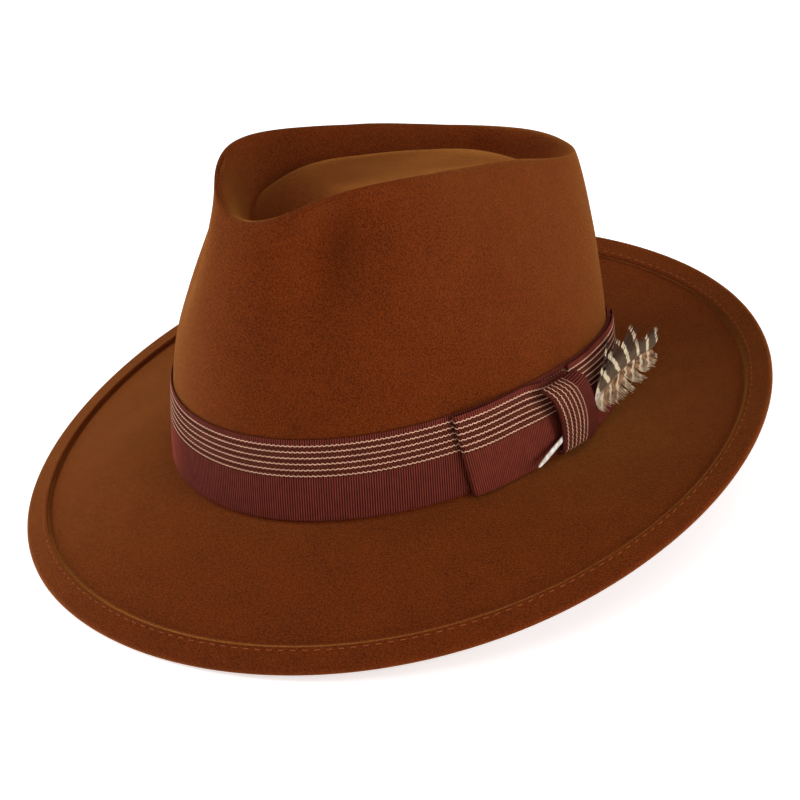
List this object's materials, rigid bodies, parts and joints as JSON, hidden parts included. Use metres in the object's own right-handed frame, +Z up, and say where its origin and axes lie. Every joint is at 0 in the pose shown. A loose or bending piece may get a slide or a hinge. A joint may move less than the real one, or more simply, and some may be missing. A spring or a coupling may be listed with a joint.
{
  "type": "fedora hat",
  "caption": "Felt fedora with a pinched teardrop crown, snap brim with a sewn edge, striped ribbon band and bow, a tucked feather, leather sweatband and lining.",
  "frame": {"origin": "centre of the head opening, at the height of the brim break", "axes": "+Z up through the crown, -Y to the front of the hat, +X to the wearer's left, where the bow is"},
  "size_m": [0.3066, 0.3362, 0.1581],
  "materials": {
    "felt": "short-nap brushed fur felt, rust brown",
    "welt_thread": "matt sewing thread",
    "grosgrain": "ribbed ribbon with pale pinstripes",
    "dark_thread": "matt sewing thread",
    "lining_cloth": "satin weave",
    "piping": "twisted cord",
    "sweatband_leather": "smooth roan leather, low sheen",
    "sweatband_thread": "matt sewing thread",
    "tag_cloth": "plain woven tape, blank",
    "quill": "keratin, satin",
    "barred_barbs": "feather barbs, dark with pale bars",
    "mottled_barbs": "feather barbs, mottled tan"
  },
  "bodies": {
    "hat": {"felt_body": "felt", "welt_stitching": "welt_thread", "hat_band": "grosgrain", "bow_front_loop": "grosgrain", "bow_rear_loop": "grosgrain", "bow_knot": "grosgrain", "bow_tack_stitch": "dark_thread", "lining_side": "lining_cloth", "lining_tip": "lining_cloth", "lining_piping": "piping", "sweatband": "sweatband_leather", "sweatband_reed": "sweatband_leather", "sweatband_stitching": "sweatband_thread", "sweatband_bow": "grosgrain", "size_tag": "tag_cloth"},
    "feather": {"feather_shaft": "quill", "feather_vane_upper": "barred_barbs", "feather_vane_lower": "mottled_barbs"}
  },
  "joints": [
    {"name": "feather_slide", "type": "slide", "parent": "hat", "child": "feather", "axis": [-0.1634, 0.949, 0.2696], "range_m": [0, 0.045]}
  ]
}
